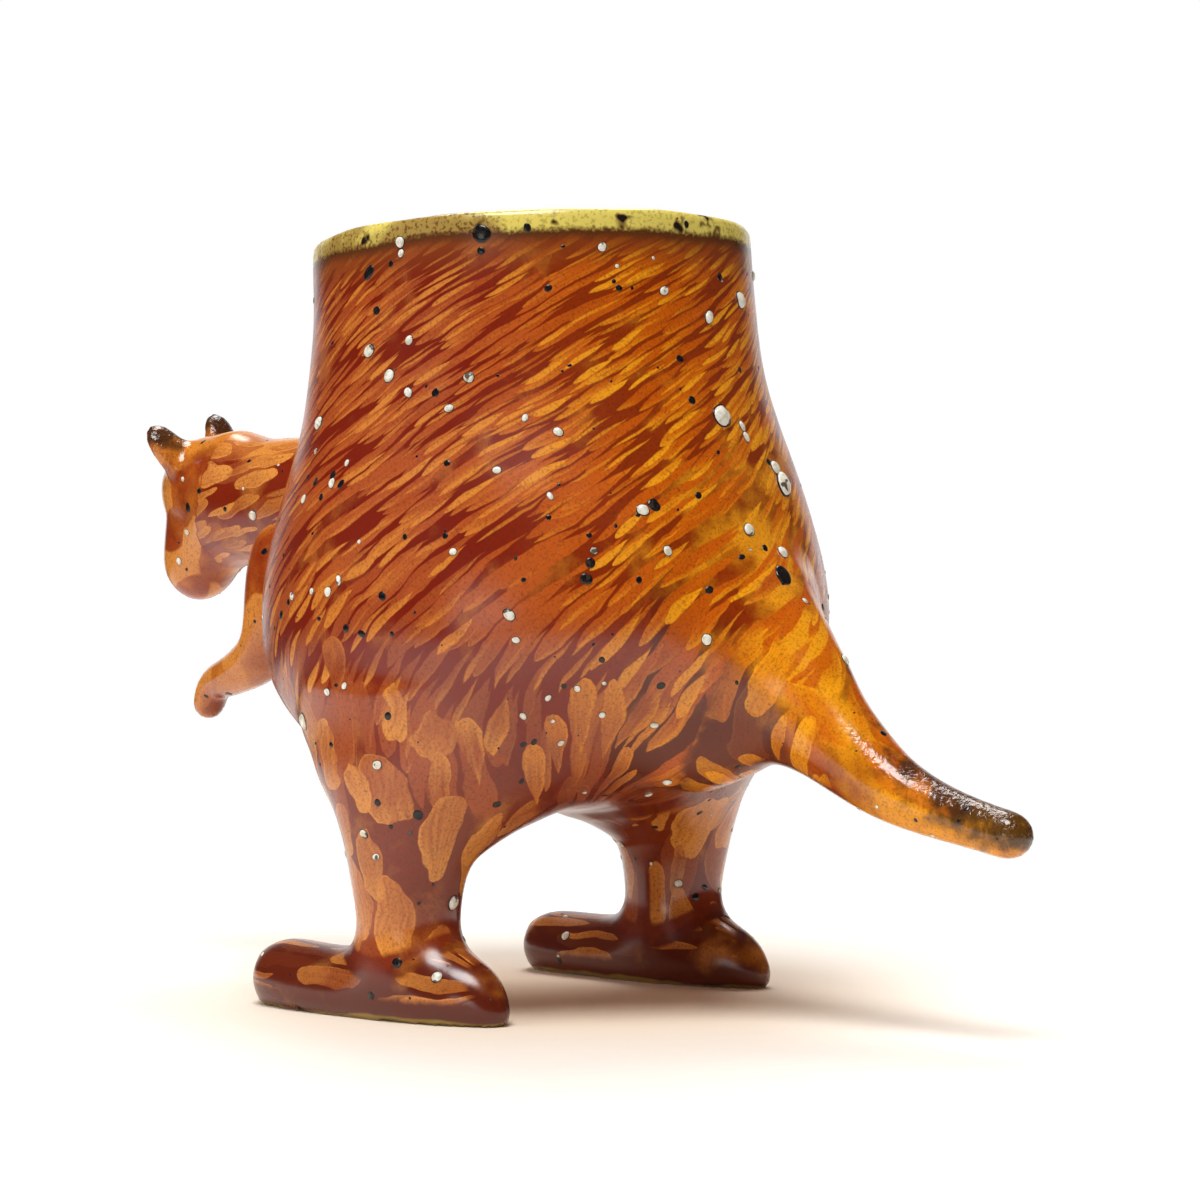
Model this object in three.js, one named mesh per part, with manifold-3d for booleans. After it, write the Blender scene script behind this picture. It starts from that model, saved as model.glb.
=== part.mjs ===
// Stoneware tea cup in the shape of a standing kangaroo.
// Millimetres, +Z up. The animal looks along -Y, its left side is +X and its tail reaches along +Y.
import * as THREE from 'three';
import { mergeVertices } from 'three/addons/utils/BufferGeometryUtils.js';
import Module from 'manifold-3d';

const degrees = THREE.MathUtils.degToRad;

// Thrown cup
const RIM_HEIGHT = 106.2;
const RIM_RADIUS = 30.75;
const BELLY_HEIGHT = 52;
const BELLY_RADIUS = 39.8;
const SHOULDER_RISE = 25.4;      // height over which the belly draws in to the rim
const SHOULDER_POWER = 2.4;      // more makes the draw-in more sudden
const UNDERSIDE_DEPTH = 26.3;    // underside below the belly
const UNDERSIDE_POWER = 2.04;    // 2 is an ellipse, more is fuller
const RIM_WALL = 3.2;
const LIP_POWER = 2.8;           // 2 is a half round, more is squarer
const BELLY_WALL = 4.6;
const FLOOR_WALL = 5.5;
const CUP_LEAN = degrees(2.6);   // forward lean of the cup on its legs

// Joints
const JOINT_GAP = 0.3;           // slip line between two clay pieces
const ROOT_DEPTH = 8;            // how far a limb runs on inside the belly before it is cut to it

// Hind legs and feet
const STANCE = 28;               // leg axis from the middle
const LEG_SET_BACK = 0.3;
const ANKLE_RADIUS = 7.05;
const HIP_RADIUS = 16;
const HIP_HEIGHT = 34;
const HIP_DRAW_IN = 4;           // hip nearer the middle than the ankle
const FOOT_HEIGHT = 9.5;
const FOOT_HALF_WIDTH = 7.2;
const FOOT_POWER = 2.4;          // 2 is a round end, more is squarer
const TOE_REACH = 27;            // toe end in front of the cup axis
const HEEL_REACH = 17.5;         // heel point behind it

// Tail
const TAIL_REACH = 79.6;
const TAIL_TIP_HEIGHT = 25.6;
const TAIL_TIP_RADIUS = 3;
const TAIL_ROOT_HEIGHT = 46;
const TAIL_ROOT_RADIUS = 15;

// Neck, head and ears
const NECK_HEIGHT = 70.5;
const NECK_HALF_WIDTH = 8.6;
const NECK_HALF_DEPTH = 9.6;
const NECK_POWER = 3;            // 2 is a round end under the jaw, more is fuller
const THROAT_DROP = 2;           // end of the neck below the middle of the skull
const HEAD_REACH = 67;           // middle of the skull in front of the cup axis
const HEAD_HEIGHT = 72.5;
const HEAD_HALF_WIDTH = 8;
const HEAD_LENGTH = 20;          // nape to brow
const MUZZLE_DROP = 16.7;        // muzzle end below the middle of the skull
const LEFT_EAR_LENGTH = 9.6;
const RIGHT_EAR_LENGTH = 11.2;
const EAR_HALF_WIDTH = 3.6;
const EAR_HALF_THICKNESS = 1.6;
const EAR_SPREAD = 4.4;          // ear root from the middle
const EAR_FORWARD = degrees(28);
const LEFT_EAR_LEAN = degrees(33);    // outward from upright
const RIGHT_EAR_LEAN = degrees(4);

// Arms
const ARM_SPREAD = 15;           // arm from the middle
const ARM_RADIUS = 5;
const ARM_PROUD = 1.8;           // arm axis in front of the wall of the cup
const ARM_HEIGHT = 66;           // top of the shoulder
const ELBOW_HEIGHT = 49;
const WRIST_RADIUS = 2.6;
const WRIST_REACH = 53.8;
const WRIST_DROP = 6;            // wrist below the elbow
const PAW_DROP = 4.9;            // paw end below the wrist
const PAW_REACH = 2.6;           // paw end in front of the wrist

// Fineness of the facets
const CUP_SIDES = 48;
const LIMB_SIDES = 20;

const wasm = await Module();
wasm.setup();

const ACROSS = new THREE.Vector3(1, 0, 0);

// Closed skin over a row of rings of equal count, with a point at each end.
function skin(rings, first, last) {
  const sides = rings[0].length;
  const points = [first, ...rings.flat(), last];
  const end = points.length - 1;
  const faces = [];
  for (let i = 0; i < sides; i++) {
    const next = (i + 1) % sides;
    faces.push(0, 1 + next, 1 + i);
    for (let k = 0; k + 1 < rings.length; k++) {
      const low = 1 + k * sides;
      const high = low + sides;
      faces.push(low + i, low + next, high + next, low + i, high + next, high + i);
    }
    faces.push(end, end - sides + i, end - sides + next);
  }
  const geometry = new THREE.BufferGeometry().setFromPoints(points);
  geometry.setIndex(faces);
  return geometry;
}

// Solid that can be cut, from a closed geometry.
function solid(geometry) {
  const bare = geometry.clone();
  bare.deleteAttribute('normal');
  bare.deleteAttribute('uv');
  const merged = mergeVertices(bare, 1e-5);
  return new wasm.Manifold(new wasm.Mesh({
    numProp: 3,
    vertProperties: new Float32Array(merged.attributes.position.array),
    triVerts: new Uint32Array(merged.index.array),
  }));
}

// Roll of clay along a spine. A station is [x, y, z, half width, half depth].
// The far end is rounded, the near end too where it is not hidden in a neighbour.
function roll(stations, { grow = 0, rings = 12, roundStart = false, blunt = 2 } = {}) {
  const spine = new THREE.CatmullRomCurve3(stations.map(([x, y, z]) => new THREE.Vector3(x, y, z)));
  const girth = new THREE.CatmullRomCurve3(stations.map(([, , , w, d]) => new THREE.Vector3(w, d, 0)));
  const start = spine.getPoint(0);
  const end = spine.getPoint(1);
  const startReach = Math.max(stations[0][3], stations[0][4]);
  const endReach = Math.max(stations.at(-1)[3], stations.at(-1)[4]);
  const rounding = (point, pole, reach) => {
    const share = Math.min(1, point.distanceTo(pole) / reach);
    return (1 - (1 - share) ** blunt) ** (1 / blunt);
  };
  const hoops = [];
  for (let k = roundStart ? 1 : 0; k < rings; k++) {
    const along = k / rings;
    const t = roundStart ? (1 - Math.cos(Math.PI * along)) / 2 : Math.sin(Math.PI / 2 * along);
    const centre = spine.getPoint(t);
    const tangent = spine.getTangent(t);
    const up = new THREE.Vector3().crossVectors(tangent, ACROSS).normalize();
    const across = new THREE.Vector3().crossVectors(up, tangent).normalize();
    const size = girth.getPoint(t);
    size.multiplyScalar(rounding(centre, end, endReach));
    if (roundStart) {
      size.multiplyScalar(rounding(centre, start, startReach));
    }
    const hoop = [];
    for (let i = 0; i < LIMB_SIDES; i++) {
      const turn = 2 * Math.PI * i / LIMB_SIDES;
      hoop.push(centre.clone()
        .addScaledVector(across, (size.x + grow) * Math.cos(turn))
        .addScaledVector(up, (size.y + grow) * Math.sin(turn)));
    }
    hoops.push(hoop);
  }
  start.addScaledVector(spine.getTangent(0), -grow);
  end.addScaledVector(spine.getTangent(1), grow);
  return solid(skin(hoops, start, end));
}

// Radius at a height above the belly.
function drawnIn(height, bellyRadius, rimRadius) {
  const fall = ((height - BELLY_HEIGHT) / SHOULDER_RISE) ** SHOULDER_POWER;
  return rimRadius + (bellyRadius - rimRadius) * Math.exp(-fall);
}

// Outline as [radius, height] from the middle of the underside up to the rim.
function outline(bellyRadius, depth, rimRadius, top, steps) {
  const power = 2 / UNDERSIDE_POWER;
  const points = [];
  for (let k = 1; k <= steps; k++) {
    const turn = Math.PI / 2 * k / steps;
    points.push([bellyRadius * Math.sin(turn) ** power, BELLY_HEIGHT - depth * Math.cos(turn) ** power]);
  }
  for (let k = 1; k <= steps; k++) {
    const height = BELLY_HEIGHT + (top - BELLY_HEIGHT) * k / steps;
    points.push([drawnIn(height, bellyRadius, rimRadius), height]);
  }
  return points;
}

// Turned solid from an outline that runs from axis to axis, set at the lean of the cup.
function turned(points, lowEnd, highEnd) {
  const rings = points.map(([radius, height]) => {
    const ring = [];
    for (let i = 0; i < CUP_SIDES; i++) {
      const turn = 2 * Math.PI * i / CUP_SIDES;
      ring.push(new THREE.Vector3(radius * Math.cos(turn), radius * Math.sin(turn), height));
    }
    return ring;
  });
  const geometry = skin(rings, new THREE.Vector3(0, 0, lowEnd), new THREE.Vector3(0, 0, highEnd));
  geometry.translate(0, 0, -BELLY_HEIGHT);
  geometry.rotateX(CUP_LEAN);
  geometry.translate(0, 0, BELLY_HEIGHT);
  return solid(geometry);
}

// Cup with a rounded lip and an open inside
const lipRadius = RIM_WALL / 2;
const lipHeight = RIM_HEIGHT - lipRadius;
const underside = BELLY_HEIGHT - UNDERSIDE_DEPTH;
const outside = outline(BELLY_RADIUS, UNDERSIDE_DEPTH, RIM_RADIUS, lipHeight, 10);
const inside = outline(
  BELLY_RADIUS - BELLY_WALL, UNDERSIDE_DEPTH - FLOOR_WALL, RIM_RADIUS - RIM_WALL, lipHeight, 8).reverse();
const lip = [];
const lipSteps = 7;
for (let k = 1; k < lipSteps; k++) {
  const turn = Math.PI * k / lipSteps;
  const power = 2 / LIP_POWER;
  const side = Math.sign(Math.cos(turn)) * Math.abs(Math.cos(turn)) ** power;
  lip.push([RIM_RADIUS - lipRadius + lipRadius * side, lipHeight + lipRadius * Math.sin(turn) ** power]);
}
const cup = turned([...outside, ...lip, ...inside], underside, underside + FLOOR_WALL);

// Space the cup takes with its joint line, which every limb is cut to
const cupSpace = turned(
  outline(BELLY_RADIUS + JOINT_GAP, UNDERSIDE_DEPTH + JOINT_GAP, RIM_RADIUS + JOINT_GAP, lipHeight, 10),
  underside - JOINT_GAP, lipHeight);

// Foot: a long roll laid on the ground and flattened by it
const footMiddle = FOOT_HEIGHT / 3;
const footRise = FOOT_HEIGHT - footMiddle;
const footStations = [
  [HEEL_REACH, 0.2, 0.25, 0.3],
  [HEEL_REACH * 0.6, 1, 0.78, 0.95],
  [0, 1, 1, 1],
  [-TOE_REACH * 0.5, 1, 1, 0.85],
  [-TOE_REACH, 1.25, 0.86, 0.9],
].map(([y, middle, width, rise]) =>
  [STANCE, y, footMiddle * middle, FOOT_HALF_WIDTH * width, footRise * rise]);
const footShape = { roundStart: true, blunt: FOOT_POWER };
const groundSize = 4 * TAIL_REACH;
const ground = new THREE.BoxGeometry(groundSize, groundSize, groundSize);
ground.translate(0, 0, -groundSize / 2);
const foot = roll(footStations, footShape).subtract(solid(ground));
const footSpace = roll(footStations, { ...footShape, grow: JOINT_GAP });

// Leg: flared at the hip, cut to the cup above and to the foot below.
// Shares of the rise from foot to hip, of the draw-in and of the flare.
const legStations = [
  [1.25, 1.25, 1.18],
  [0.84, 0.62, 0.79],
  [0.49, 0, 0.18],
  [0.17, 0, 0],
  [-0.25, 0, 0],
].map(([rise, drawIn, flare]) => {
  const radius = ANKLE_RADIUS + (HIP_RADIUS - ANKLE_RADIUS) * flare;
  const height = FOOT_HEIGHT + (HIP_HEIGHT - FOOT_HEIGHT) * rise;
  return [STANCE - HIP_DRAW_IN * drawIn, LEG_SET_BACK, height, radius, radius];
});
const leg = roll(legStations).subtract(cupSpace).subtract(footSpace);

// Tail: a tapering roll with a wide root. Shares of its length, drop and root radius.
const tailRoot = BELLY_RADIUS - ROOT_DEPTH;
const tailStations = [
  [0, 0, 0.74, 1],
  [0.2, 0.12, 0.56, 0.76],
  [0.35, 0.36, 0.42, 0.44],
  [0.54, 0.67, 0.32, 0.31],
  [0.69, 0.82, 0.26, 0.25],
  [0.86, 0.93, 0.21, 0.21],
].map(([along, drop, width, depth]) => [
  0,
  tailRoot + (TAIL_REACH - tailRoot) * along,
  TAIL_ROOT_HEIGHT + (TAIL_TIP_HEIGHT - TAIL_ROOT_HEIGHT) * drop,
  TAIL_ROOT_RADIUS * width,
  TAIL_ROOT_RADIUS * depth,
]);
tailStations.push([0, TAIL_REACH, TAIL_TIP_HEIGHT, TAIL_TIP_RADIUS, TAIL_TIP_RADIUS]);
const tail = roll(tailStations, { rings: 18 }).subtract(cupSpace);

// Head: a round skull with the muzzle hanging from it.
// Shares of the head's length, of the muzzle's drop and of the half width.
const headStation = ([along, drop, width, depth]) => [
  0,
  -HEAD_REACH - HEAD_LENGTH * along,
  HEAD_HEIGHT - MUZZLE_DROP * drop,
  HEAD_HALF_WIDTH * width,
  HEAD_HALF_WIDTH * depth,
];
const skullStations = [[-0.5, 0, 0.88, 0.92], [-0.1, 0, 1, 1.1], [0.49, 0, 0.88, 0.92]].map(headStation);
const muzzleStations = [[0, 0, 0.9, 1], [0.16, 0.5, 0.78, 0.84], [0.25, 1, 0.62, 0.62]].map(headStation);
const headOf = (grow) => roll(skullStations, { roundStart: true, rings: 14, grow })
  .add(roll(muzzleStations, { rings: 10, grow }));
const head = headOf(0);
const headSpace = headOf(JOINT_GAP);

// Neck: a level roll between cup and head, narrower than the skull at its end.
// Shares of its length and of its half width and half depth.
const neckStart = -BELLY_RADIUS + ROOT_DEPTH;
const neckEndHeight = HEAD_HEIGHT - THROAT_DROP;
const neckStations = [
  [-0.1, 1.05, 1.05],
  [0.2, 1.01, 1.01],
  [0.6, 1, 1],
  [1, 0.82, 1],
].map(([along, width, depth]) => [
  0,
  neckStart - (HEAD_REACH + neckStart) * along,
  NECK_HEIGHT + (neckEndHeight - NECK_HEIGHT) * along,
  NECK_HALF_WIDTH * width,
  NECK_HALF_DEPTH * depth,
]);
const neckShape = { blunt: NECK_POWER };
const neck = roll(neckStations, neckShape).subtract(cupSpace).subtract(headSpace);
const neckSpace = roll(neckStations, { ...neckShape, grow: JOINT_GAP });

// Ear: a leaf of clay hollowed on its front, pressed on the skull at its own lean
function ear(side, length, outLean) {
  const root = new THREE.Vector3(
    side * EAR_SPREAD,
    -HEAD_REACH - HEAD_LENGTH * 0.075,
    HEAD_HEIGHT + HEAD_HALF_WIDTH * 0.31);
  const axis = new THREE.Vector3(
    side * Math.sin(outLean),
    -Math.sin(EAR_FORWARD) * Math.cos(outLean),
    Math.cos(EAR_FORWARD) * Math.cos(outLean));
  const front = new THREE.Vector3().crossVectors(ACROSS, axis).normalize();
  const at = (along, ahead) =>
    root.clone().addScaledVector(axis, along * length).addScaledVector(front, ahead * EAR_HALF_THICKNESS);
  const leaf = [[0, 0.8, 1.3], [0.45, 1, 1.1], [0.8, 0.75, 0.9], [1, 0.4, 0.6]].map(([along, width, depth]) =>
    [...at(along, 0).toArray(), EAR_HALF_WIDTH * width, EAR_HALF_THICKNESS * depth]);
  const hollow = new THREE.SphereGeometry(1, 14, 10);
  hollow.scale(EAR_HALF_WIDTH * 0.62, EAR_HALF_THICKNESS * 0.9, length * 0.22);
  hollow.applyMatrix4(new THREE.Matrix4().makeBasis(
    new THREE.Vector3().crossVectors(front, axis), front, axis).setPosition(at(0.68, 1.2)));
  return roll(leaf, { rings: 9 }).subtract(solid(hollow)).subtract(headSpace);
}

// Arm: laid along the front of the cup from the shoulder, bent at the elbow, with a hanging paw
const armBack = (height) =>
  -Math.sqrt((drawnIn(height, BELLY_RADIUS, RIM_RADIUS) + ARM_PROUD) ** 2 - ARM_SPREAD ** 2);
const armFront = armBack(BELLY_HEIGHT);
const wristHeight = ELBOW_HEIGHT - WRIST_DROP;
const armStations = [
  [0.8, armBack(ARM_HEIGHT), ARM_HEIGHT, ARM_RADIUS],
  [1, armBack(ARM_HEIGHT) * 0.6 + armFront * 0.4, ARM_HEIGHT - ARM_RADIUS, ARM_RADIUS],
  [1.03, armFront * 1.02, ELBOW_HEIGHT, ARM_RADIUS * 0.9],
  [0.97, -WRIST_REACH + (WRIST_REACH + armFront) * 0.44, ELBOW_HEIGHT - WRIST_DROP * 0.67, ARM_RADIUS * 0.64],
  [0.87, -WRIST_REACH, wristHeight, WRIST_RADIUS],
  [0.83, -WRIST_REACH - PAW_REACH, wristHeight - PAW_DROP, WRIST_RADIUS * 0.9],
].map(([spread, y, z, radius]) => [ARM_SPREAD * spread, y, z, radius, radius]);
const arm = roll(armStations, { rings: 18, roundStart: true }).subtract(cupSpace).subtract(neckSpace);

// Named mesh of one piece in its glazed colour
function piece(name, body, colour) {
  const { vertProperties, triVerts } = body.getMesh();
  const geometry = new THREE.BufferGeometry();
  geometry.setAttribute('position', new THREE.BufferAttribute(new Float32Array(vertProperties), 3));
  geometry.setIndex(new THREE.BufferAttribute(new Uint32Array(triVerts), 1));
  geometry.computeVertexNormals();
  const material = new THREE.MeshStandardMaterial({ color: colour, roughness: 0.25, metalness: 0 });
  const mesh = new THREE.Mesh(geometry, material);
  mesh.name = name;
  return mesh;
}

const opposite = (body) => body.mirror([1, 0, 0]);
const FUR = '#a4552a';
const LIGHT_FUR = '#b4662e';

const kangaroo = new THREE.Group();
kangaroo.name = 'kangaroo_cup';
kangaroo.add(
  piece('cup_body', cup, FUR),
  piece('neck', neck, FUR),
  piece('head', head, LIGHT_FUR),
  piece('left_ear', ear(1, LEFT_EAR_LENGTH, LEFT_EAR_LEAN), LIGHT_FUR),
  piece('right_ear', ear(-1, RIGHT_EAR_LENGTH, RIGHT_EAR_LEAN), LIGHT_FUR),
  piece('left_arm', arm, LIGHT_FUR),
  piece('right_arm', opposite(arm), LIGHT_FUR),
  piece('left_leg', leg, FUR),
  piece('right_leg', opposite(leg), FUR),
  piece('left_foot', foot, FUR),
  piece('right_foot', opposite(foot), FUR),
  piece('tail', tail, LIGHT_FUR),
);

// The middle of the length stands over the origin.
const box = new THREE.Box3().setFromObject(kangaroo);
kangaroo.position.y = -(box.min.y + box.max.y) / 2;

export default kangaroo;
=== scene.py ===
"""Looks of a stoneware tea cup in the shape of a standing kangaroo, under a brushed and speckled glaze.

Metres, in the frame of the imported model: the animal looks along -Y, its left side is +X, +Z is up.
"""
import math

import bmesh
import bpy
import numpy as np
import openvdb
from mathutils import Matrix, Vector
from mathutils.bvhtree import BVHTree
from typing import NamedTuple


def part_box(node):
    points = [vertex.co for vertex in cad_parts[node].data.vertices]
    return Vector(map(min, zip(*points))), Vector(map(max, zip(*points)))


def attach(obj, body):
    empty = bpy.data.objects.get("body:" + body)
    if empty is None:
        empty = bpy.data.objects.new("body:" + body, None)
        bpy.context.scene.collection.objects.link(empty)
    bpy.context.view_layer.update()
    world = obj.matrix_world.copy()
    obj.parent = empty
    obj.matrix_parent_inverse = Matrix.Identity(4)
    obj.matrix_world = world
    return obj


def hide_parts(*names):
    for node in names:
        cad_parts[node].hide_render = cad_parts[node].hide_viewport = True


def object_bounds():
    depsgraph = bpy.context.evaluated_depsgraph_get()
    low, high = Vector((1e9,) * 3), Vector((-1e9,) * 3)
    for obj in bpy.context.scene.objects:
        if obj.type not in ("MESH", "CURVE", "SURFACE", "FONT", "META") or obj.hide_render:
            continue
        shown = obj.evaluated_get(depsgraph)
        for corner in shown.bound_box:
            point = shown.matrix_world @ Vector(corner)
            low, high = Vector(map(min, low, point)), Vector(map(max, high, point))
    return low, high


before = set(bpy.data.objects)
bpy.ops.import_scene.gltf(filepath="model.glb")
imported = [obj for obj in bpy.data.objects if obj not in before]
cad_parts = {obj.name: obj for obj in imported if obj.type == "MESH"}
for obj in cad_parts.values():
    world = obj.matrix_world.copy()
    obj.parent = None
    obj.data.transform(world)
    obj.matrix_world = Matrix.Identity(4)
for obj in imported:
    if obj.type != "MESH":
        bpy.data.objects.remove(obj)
cad_low, cad_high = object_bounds()
MM = 0.001
DEGREE = math.pi / 180

# Clay skin
VOXEL = 0.7 * MM  # fineness of the skin
BAND = 13  # voxels on each side of a solid in which distances are known
SLIVER = 0.05 * MM  # points of a solid closer than this are one
FLAT_PAIR = 25 * DEGREE  # triangles of a solid bent less than this become one face
SQUARE_PAIR = 40 * DEGREE  # where its corners are within this of square ones
SHARP_EDGE = 40 * DEGREE  # edges of a solid bent more than this stay sharp
ROUNDINGS = 2  # subdivisions that round the facets away
EVENINGS = 4  # times that the skin's points are evened out
EVENING = 0.6  # share of the way to their neighbours' mean, each time
BORDER_EVENINGS = 3  # times that the pieces' borders are evened out
OWN_VOTE = 0.5  # a face's own piece against those of its neighbours, then
SOLE_ROUNDING = 0.8 * MM
SOLE_FACING = -0.9  # upward part of the normals of a sole, at most
HALF_WALL = 2.4 * MM
UNEVENNESS = 0.1 * MM  # of the hand-worked clay
FINGER_REACH = 17 * MM  # width of its dents
FINGER_SPREAD = (0.7, 1.5)  # share of it that the narrowest and widest have
FINGER_WAVES = 8
FINGER_SEED = 5
FINGER_BAND = 4  # voxels on each side of the skin that are uneven
JOINT_SETBACK = 0.4 * MM  # depth of the faces that close the pieces inside their joints

# The pieces in the order in which they are joined, and how far the clay is smeared over each kind of joint
NODES = (
    "cup_body", "left_leg", "right_leg", "tail", "neck", "head", "left_arm", "right_arm", "left_foot",
    "right_foot", "left_ear", "right_ear")
LIMBS = NODES[1:]
SMEAR = {
    "body": 0, "leg": 10 * MM, "tail": 11 * MM, "neck": 3.5 * MM, "head": 6 * MM, "arm": 3 * MM,
    "foot": 5 * MM, "ear": 2 * MM}

# The top of each leg is worked into the cup
HIP_SINK = 4.5 * MM
HIP_LOW = 30 * MM
HIP_HIGH = 46 * MM

# Brushed fur: the strokes stand upright low on the body and lie over towards the rim
CUP_LEAN = 2.6 * DEGREE
BELLY_HEIGHT = 52 * MM
RIM_HEIGHT = 106.2 * MM
CUP_GIRTH_RADIUS = 37 * MM
UPRIGHT_HEIGHT = 33 * MM
THIGH_TOP = 38 * MM  # middles of the leg's strokes lie below this
LIMB_REACH = 26  # millimetres along a limb up to which strokes are set
MOST_SLANT = 2.8  # of the strokes, sideways to upwards, far above the upright ones
LIE_OVER = 40 * MM  # rise in which they gain most of it
FLOW_LEVELS = 400

# Pattern on each kind of limb: axis, mean radius, and stretch of the strokes along and across
PATTERNS = {
    "leg": ((0, 0, 1), 8 * MM, (1.2, 0.8)),
    "foot": ((0, 1, 0), 6.5 * MM, (1.6, 0.42)),
    "arm": ((0, 0.4, 1), 4 * MM, (0.7, 0.5)),
    "ear": ((0, 0.4, 1), 4 * MM, (0.7, 0.5)),
    "tail": ((0, 1, -0.4), 7 * MM, (0.9, 0.5)),
    "neck": ((0, -1, -0.3), 9 * MM, (0.9, 0.4)),
}

# Where the strokes show: none of them at the first value, all at the second
CUP_NEAR = (6 * MM, 2 * MM)  # distance from the cup
LIMB_NEAR = (4 * MM, 0.5 * MM)  # distance from a limb
SEAM_CLEAR = (0.5 * MM, 3 * MM)  # distance from a seam of the limbs' patterns
AXIS_CLEAR = (0.3, 0.7)  # distance from a limb's axis, in mean radii
BODY_END = (155 * DEGREE, 130 * DEGREE)  # the body's strokes, by the turn from the tail
CHEST_START = (110 * DEGREE, 120 * DEGREE)
HIP_FUR = (22 * MM, 30 * MM)  # the body's strokes on the legs, by height
RUMP_FUR = (22 * MM, 10 * MM)  # those on the tail, by distance from the cup
RUMP_FACING = (-0.2, 0.3)  # and by the upward part of the normal
TAIL_BLOTCHES = (0.6, 0.35)  # share of the tail's length
TAIL_BLOTCH_FACING = (0.6, 0)
FOOT_BLOTCHES = (1.5 * MM, 5 * MM)  # height

# Glaze on each kind of limb: share of pooled amber, and of thin brown wash under the strokes
AMBER = {"tail": 0.62, "neck": 0.15, "head": 0.25, "ear": 0.5, "arm": 0.3}
THIN = {"head": 0.75, "ear": 0.3, "arm": 0.7, "leg": 0.2}
PATCHY = ("head", "arm")  # blotched, not brushed
LIGHT = ("head", "ear", "arm", "tail")  # in a material slot of their own

# Where the glaze changes, in the same way
INNER_HEIGHT = 30 * MM  # the cup's inside lies above this
INNER_FACING = -0.3  # outward part of its wall's normals, at most
BOWL_FACING = 0.6  # upward part of its bottom's normals, at least
BOWL_RADIUS = 26 * MM
OFF_CUP_BELOW = 100  # millimetres below the rim that other pieces count as
WARM_TURN = (75 * DEGREE, 15 * DEGREE)
WARM_HEIGHT = (34 * MM, 56 * MM)
LIMB_WARMTH = 0.2
TAIL_WARMTH = (7 * MM, 0)  # distance from the tail
TAIL_SCORCH = (0.42, 1.05)  # share of its length
SCORCH_FACING = 0.22  # how much further up it the scorch goes on its upper side
EAR_SCORCH = (0.25, 0.8)  # share of each ear's own height
POOL_NEAR = (6 * MM, 0)  # distance from a limb
TAIL_POOL_FACING = (-0.35, 0.35)
TAIL_POOL_END = (0.35, 0.55)  # share of its length
SADDLE_AMBER = 0.5
SADDLE_TURN = (35 * DEGREE, 0)
SADDLE_TOP = (85 * MM, 60 * MM)
SADDLE_FOOT = (36 * MM, 46 * MM)
HEEL_AMBER = 0.22
HEEL_START = (0.62, 0.8)  # share of the foot's length
HEEL_EDGE = (2 * MM, 5 * MM)  # height
# Painted light: amber on the upper side of the neck and head, stronger where it faces up
CROWN_PAINTED_LIGHT = 0.7
LIT_CROWN_FACING = (0.3, 0.9)
DEEP_NEAR = (3 * MM, 0)  # distance from a limb
LEG_DEEP = 0.45
LEG_DEEP_HEIGHT = (45 * MM, 25 * MM)
TAIL_DEEP_FACING = (0.3, -0.2)
TAIL_DEEP_END = (0.5, 0.3)  # share of its length
ARM_DEEP = 0.8
ARM_DEEP_FACING = (0.1, -0.5)

# Photograph
PHOTO_SIDE = 1200
PHOTO_FOCUS = 3200  # focal length in pixels
PHOTO_AXIS_X = 545.5  # column of the cup's axis
PHOTO_HORIZON = 604  # row of the camera's height
CAMERA_TURN = 41.4 * DEGREE  # from the animal's left side towards its tail
CAMERA_DISTANCE = 448 * MM
CAMERA_HEIGHT = 55 * MM
SENSOR = 36

# Studio
FLOOR_SIDE = 1.6
PAINTED_BOUNCE_REACH = 0.075  # painted warm light, standing in for light bounced off the glaze, tints the floor within this distance
FLOOR_NEAR = 0.1  # the floor is its own colour within this distance of the object's middle
FLOOR_FAR = 0.22  # and white from here on
FLOOR_DIM = 0.2  # painted shade darkens its colour from here, so its mirror image in the glaze is dimmer
FLOOR_DARK = 0.38  # and dark from here on
ROOM_LIGHT = 0.05  # dim room on the camera's side
ROOM_TINT = (1, 0.86, 0.7, 1)  # warm walls of the room
BACKDROP_LIGHT = 0.55  # white backdrop behind the object, as far as it lights it
WORLD_SIDES = (-0.2, 0.4)  # from the room to the backdrop, by the cosine with the camera's way
WORLD_MIRRORED = (0.75, 0.95)  # part of the backdrop that the glaze mirrors

# Lamps: place, height aimed at, width, watts, and whether the glaze mirrors them
LAMPS = {
    "key": ((0.36, 0.2, 0.95), 0.05, 0.5, 8.5, True),
    "overhead": ((-0.34, -0.3, 0.75), 0.05, 0.45, 3.6, True),
    "fill": ((0.62, -0.3, 0.42), 0.05, 0.7, 1.7, False),
    "glint": ((0.72, 0.22, 0.08), 0.06, 0.25, 0.3, True),
}

cup_low, cup_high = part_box("cup_body")


def kind(node):
    return node.split("_")[-1]


def placed(name, data):
    """New object in the scene."""
    item = bpy.data.objects.new(name, data)
    bpy.context.scene.collection.objects.link(item)
    return item


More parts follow.
